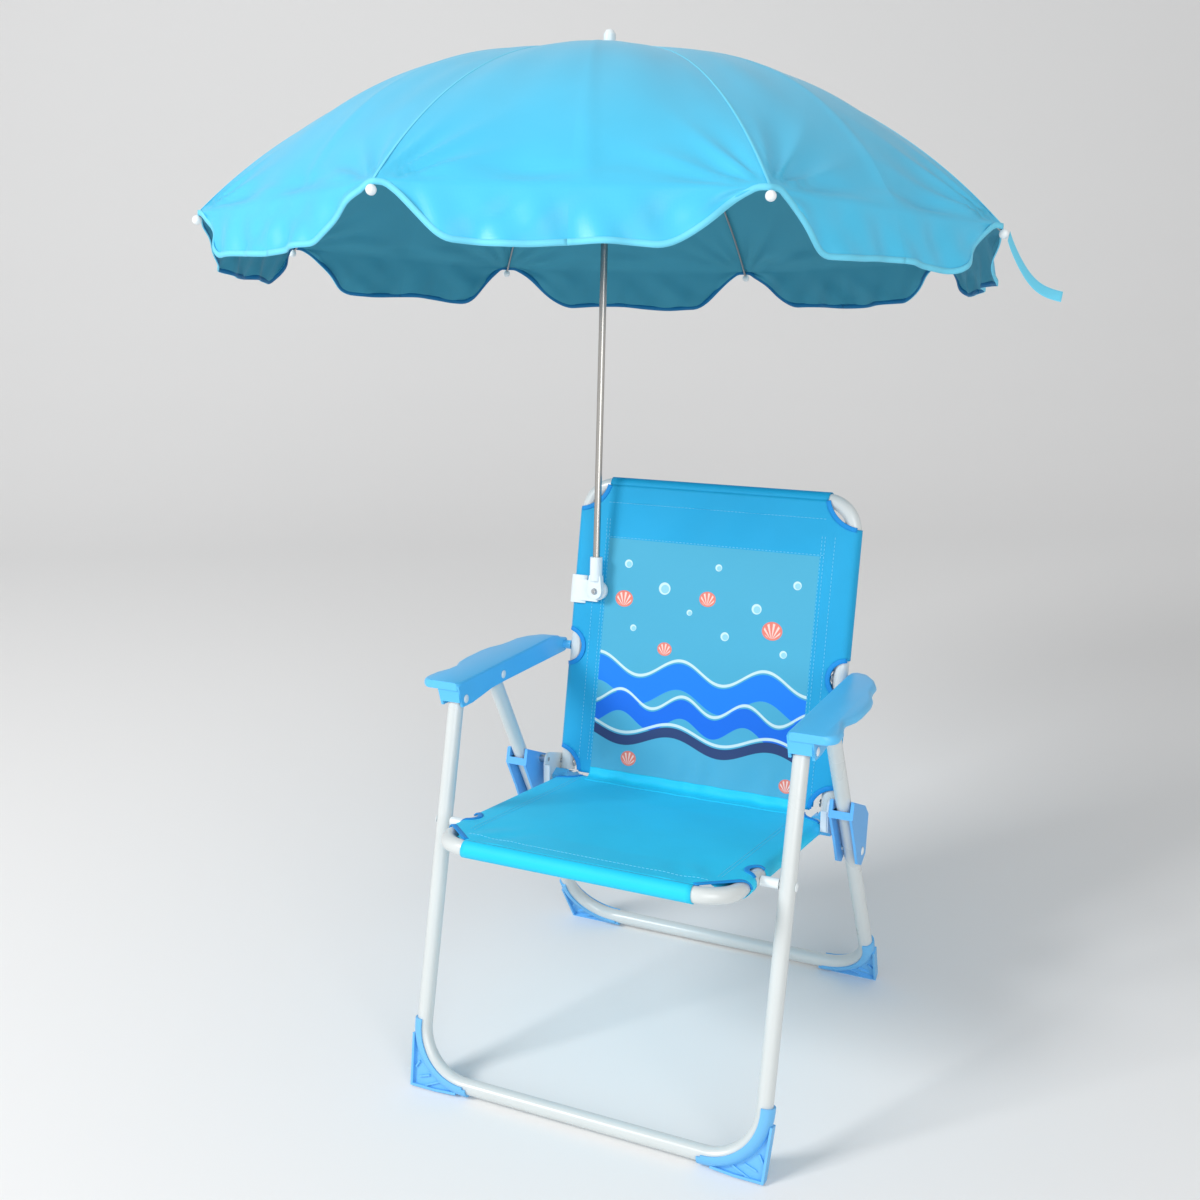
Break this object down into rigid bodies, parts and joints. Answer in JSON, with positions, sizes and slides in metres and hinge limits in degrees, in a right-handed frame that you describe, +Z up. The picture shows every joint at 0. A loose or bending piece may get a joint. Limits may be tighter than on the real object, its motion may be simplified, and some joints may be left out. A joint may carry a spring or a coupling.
{
  "type": "folding beach chair with parasol",
  "caption": "Folding child's beach chair with white tube frame, blue fabric sling, plastic armrests and a clamp-on tilting parasol with scalloped canopy.",
  "frame": {"origin": "centre of the bounding box, on the floor", "axes": "+Z up, -Y the way the seat faces, +X to the right as seen by someone facing the chair"},
  "size_m": [0.9263, 0.8632, 1.0538],
  "materials": {
    "frame_paint": "gloss",
    "bracket_paint": "satin",
    "rivet_paint": "gloss",
    "armrest_plastic": "satin",
    "cap_plastic": "satin",
    "link_plastic": "satin",
    "spacer_plastic": "satin",
    "hardware_steel": "brushed",
    "seat_fabric": "plain coated weave",
    "back_fabric": "plain coated weave",
    "clamp_plastic": "satin",
    "hub_plastic": "satin",
    "pole_steel": "plated",
    "wire_steel": "plain wire",
    "canopy_fabric": "thin coated weave",
    "strap_fabric": "thin coated weave"
  },
  "bodies": {
    "front_legs": {"front_leg_frame": "frame_paint", "front_foot_caps": "cap_plastic", "seat_bolts": "rivet_paint", "seat_spacers": "hardware_steel"},
    "armrests": {"armrest_left": "armrest_plastic", "armrest_right": "armrest_plastic", "armrest_rivets": "rivet_paint", "back_spacers": "spacer_plastic"},
    "rear_legs": {"rear_leg_frame": "frame_paint", "rear_foot_caps": "cap_plastic"},
    "lock_links": {"lock_link_left": "link_plastic", "lock_link_right": "link_plastic", "link_rivets": "rivet_paint"},
    "seat": {"seat_frame": "frame_paint", "sling_seat": "seat_fabric", "hinge_plate_left": "bracket_paint", "hinge_plate_right": "bracket_paint", "hinge_block_left": "spacer_plastic", "hinge_block_right": "spacer_plastic", "hinge_pins": "hardware_steel", "bracket_studs": "hardware_steel", "bracket_rivets": "rivet_paint"},
    "back": {"back_frame": "frame_paint", "sling_back": "back_fabric", "back_rivets": "rivet_paint", "umbrella_clamp": "clamp_plastic", "clamp_screw": "hardware_steel", "clamp_nut": "hardware_steel"},
    "parasol_pole": {"pole_socket": "clamp_plastic", "pole": "pole_steel", "ferrule": "hub_plastic", "crown": "hub_plastic"},
    "parasol_runner": {"runner": "hub_plastic"},
    "parasol_rib_1": {"rib_1": "wire_steel", "canopy_panel_1": "canopy_fabric"},
    "parasol_stretcher_1": {"stretcher_1": "wire_steel"},
    "parasol_rib_2": {"rib_2": "wire_steel", "canopy_panel_2": "canopy_fabric"},
    "parasol_stretcher_2": {"stretcher_2": "wire_steel"},
    "parasol_rib_3": {"rib_3": "wire_steel", "canopy_panel_3": "canopy_fabric"},
    "parasol_stretcher_3": {"stretcher_3": "wire_steel"},
    "parasol_rib_4": {"rib_4": "wire_steel", "canopy_panel_4": "canopy_fabric", "tie_strap": "strap_fabric"},
    "parasol_stretcher_4": {"stretcher_4": "wire_steel"},
    "parasol_rib_5": {"rib_5": "wire_steel", "canopy_panel_5": "canopy_fabric"},
    "parasol_stretcher_5": {"stretcher_5": "wire_steel"},
    "parasol_rib_6": {"rib_6": "wire_steel", "canopy_panel_6": "canopy_fabric"},
    "parasol_stretcher_6": {"stretcher_6": "wire_steel"},
    "parasol_rib_7": {"rib_7": "wire_steel", "canopy_panel_7": "canopy_fabric"},
    "parasol_stretcher_7": {"stretcher_7": "wire_steel"},
    "parasol_rib_8": {"rib_8": "wire_steel", "canopy_panel_8": "canopy_fabric"},
    "parasol_stretcher_8": {"stretcher_8": "wire_steel"}
  },
  "joints": [
    {"name": "fold", "type": "hinge", "parent": "front_legs", "child": "armrests", "pos_m": [0.11305, -0.27928, 0.389], "axis": [1, 0, 0], "range_deg": [-75, 0]},
    {"name": "armrest_rear_leg", "type": "hinge", "parent": "armrests", "child": "rear_legs", "pos_m": [0.11305, -0.20028, 0.39], "axis": [1, 0, 0], "range_deg": [0, 53]},
    {"name": "rear_leg_lock_link", "type": "hinge", "parent": "rear_legs", "child": "lock_links", "pos_m": [0.11305, -0.11109, 0.212], "axis": [1, 0, 0], "range_deg": [0, 158]},
    {"name": "front_leg_seat", "type": "hinge", "parent": "front_legs", "child": "seat", "pos_m": [0.11305, -0.31521, 0.26697], "axis": [1, 0, 0], "range_deg": [-76, 0]},
    {"name": "seat_back", "type": "hinge", "parent": "seat", "child": "back", "pos_m": [0.11305, -0.08778, 0.248], "axis": [1, 0, 0], "range_deg": [0, 70]},
    {"name": "parasol_tilt", "type": "hinge", "parent": "back", "child": "parasol_pole", "pos_m": [-0.01776, -0.05691, 0.44912], "axis": [0.0026, 0.989, -0.1478], "range_deg": [-5, 30]},
    {"name": "parasol_slide", "type": "slide", "parent": "parasol_pole", "child": "parasol_runner", "axis": [0.0173, -0.1478, -0.9889], "range_m": [0, 0.2856], "deforming": ["canopy_panel_1", "canopy_panel_2", "canopy_panel_3", "canopy_panel_4", "canopy_panel_5", "canopy_panel_6", "canopy_panel_7", "canopy_panel_8", "tie_strap"]},
    {"name": "rib_1_pivot", "type": "hinge", "parent": "parasol_pole", "child": "parasol_rib_1", "pos_m": [-0.03354, 0.02292, 1.02036], "axis": [0.6864, -0.7174, 0.1192], "range_deg": [0, 58.5]},
    {"name": "stretcher_1_pivot", "type": "hinge", "parent": "parasol_rib_1", "child": "parasol_stretcher_1", "pos_m": [-0.16892, -0.10935, 1.0038], "axis": [0.6864, -0.7174, 0.1192], "range_deg": [-116.5, 0]},
    {"name": "rib_2_pivot", "type": "hinge", "parent": "parasol_pole", "child": "parasol_rib_2", "pos_m": [-0.02795, 0.02046, 1.02082], "axis": [0.9994, -0.0259, 0.0213], "range_deg": [0, 58.5]},
    {"name": "stretcher_2_pivot", "type": "hinge", "parent": "parasol_rib_2", "child": "parasol_stretcher_2", "pos_m": [-0.03275, -0.16939, 1.01515], "axis": [0.9994, -0.0259, 0.0213], "range_deg": [-116.5, 0]},
    {"name": "rib_3_pivot", "type": "hinge", "parent": "parasol_pole", "child": "parasol_rib_3", "pos_m": [-0.02223, 0.02263, 1.0206], "axis": [0.727, 0.6808, -0.0891], "range_deg": [0, 58.5]},
    {"name": "stretcher_3_pivot", "type": "hinge", "parent": "parasol_rib_3", "child": "parasol_stretcher_3", "pos_m": [0.1067, -0.11649, 1.00968], "axis": [0.727, 0.6808, -0.0891], "range_deg": [-116.5, 0]},
    {"name": "rib_4_pivot", "type": "hinge", "parent": "parasol_pole", "child": "parasol_rib_4", "pos_m": [-0.01973, 0.02816, 1.01981], "axis": [0.0288, 0.9887, -0.1473], "range_deg": [0, 58.5]},
    {"name": "stretcher_4_pivot", "type": "hinge", "parent": "parasol_rib_4", "child": "parasol_stretcher_4", "pos_m": [0.16775, 0.01836, 0.99059], "axis": [0.0288, 0.9887, -0.1473], "range_deg": [-116.5, 0]},
    {"name": "rib_5_pivot", "type": "hinge", "parent": "parasol_pole", "child": "parasol_rib_5", "pos_m": [-0.02191, 0.03382, 1.01893], "axis": [-0.6864, 0.7174, -0.1192], "range_deg": [0, 58.5]},
    {"name": "stretcher_5_pivot", "type": "hinge", "parent": "parasol_rib_5", "child": "parasol_stretcher_5", "pos_m": [0.11463, 0.15616, 0.96906], "axis": [-0.6864, 0.7174, -0.1192], "range_deg": [-116.5, 0]},
    {"name": "rib_6_pivot", "type": "hinge", "parent": "parasol_pole", "child": "parasol_rib_6", "pos_m": [-0.02749, 0.03628, 1.01846], "axis": [-0.9994, 0.0259, -0.0213], "range_deg": [0, 58.5]},
    {"name": "stretcher_6_pivot", "type": "hinge", "parent": "parasol_rib_6", "child": "parasol_stretcher_6", "pos_m": [-0.02154, 0.2162, 0.95771], "axis": [-0.9994, 0.0259, -0.0213], "range_deg": [-116.5, 0]},
    {"name": "rib_7_pivot", "type": "hinge", "parent": "parasol_pole", "child": "parasol_rib_7", "pos_m": [-0.03321, 0.03411, 1.01869], "axis": [-0.727, -0.6808, 0.0891], "range_deg": [0, 58.5]},
    {"name": "stretcher_7_pivot", "type": "hinge", "parent": "parasol_rib_7", "child": "parasol_stretcher_7", "pos_m": [-0.16099, 0.1633, 0.96318], "axis": [-0.727, -0.6808, 0.0891], "range_deg": [-116.5, 0]},
    {"name": "rib_8_pivot", "type": "hinge", "parent": "parasol_pole", "child": "parasol_rib_8", "pos_m": [-0.03572, 0.02858, 1.01947], "axis": [-0.0288, -0.9887, 0.1473], "range_deg": [0, 58.5]},
    {"name": "stretcher_8_pivot", "type": "hinge", "parent": "parasol_rib_8", "child": "parasol_stretcher_8", "pos_m": [-0.22203, 0.02846, 0.98228], "axis": [-0.0288, -0.9887, 0.1473], "range_deg": [-116.5, 0]}
  ],
  "couplings": [
    {"joint": "armrest_rear_leg", "follows": "fold", "ratio": -0.702},
    {"joint": "rear_leg_lock_link", "follows": "fold", "ratio": -2.0993},
    {"joint": "front_leg_seat", "follows": "fold", "ratio": 1.0102},
    {"joint": "seat_back", "follows": "fold", "ratio": -0.92533},
    {"joint": "rib_1_pivot", "follows": "parasol_slide", "rad_per_m": 3.5445},
    {"joint": "stretcher_1_pivot", "follows": "parasol_slide", "rad_per_m": -7.0889},
    {"joint": "rib_2_pivot", "follows": "parasol_slide", "rad_per_m": 3.5445},
    {"joint": "stretcher_2_pivot", "follows": "parasol_slide", "rad_per_m": -7.0889},
    {"joint": "rib_3_pivot", "follows": "parasol_slide", "rad_per_m": 3.5445},
    {"joint": "stretcher_3_pivot", "follows": "parasol_slide", "rad_per_m": -7.0889},
    {"joint": "rib_4_pivot", "follows": "parasol_slide", "rad_per_m": 3.5445},
    {"joint": "stretcher_4_pivot", "follows": "parasol_slide", "rad_per_m": -7.0889},
    {"joint": "rib_5_pivot", "follows": "parasol_slide", "rad_per_m": 3.5445},
    {"joint": "stretcher_5_pivot", "follows": "parasol_slide", "rad_per_m": -7.0889},
    {"joint": "rib_6_pivot", "follows": "parasol_slide", "rad_per_m": 3.5445},
    {"joint": "stretcher_6_pivot", "follows": "parasol_slide", "rad_per_m": -7.0889},
    {"joint": "rib_7_pivot", "follows": "parasol_slide", "rad_per_m": 3.5445},
    {"joint": "stretcher_7_pivot", "follows": "parasol_slide", "rad_per_m": -7.0889},
    {"joint": "rib_8_pivot", "follows": "parasol_slide", "rad_per_m": 3.5445},
    {"joint": "stretcher_8_pivot", "follows": "parasol_slide", "rad_per_m": -7.0889}
  ]
}
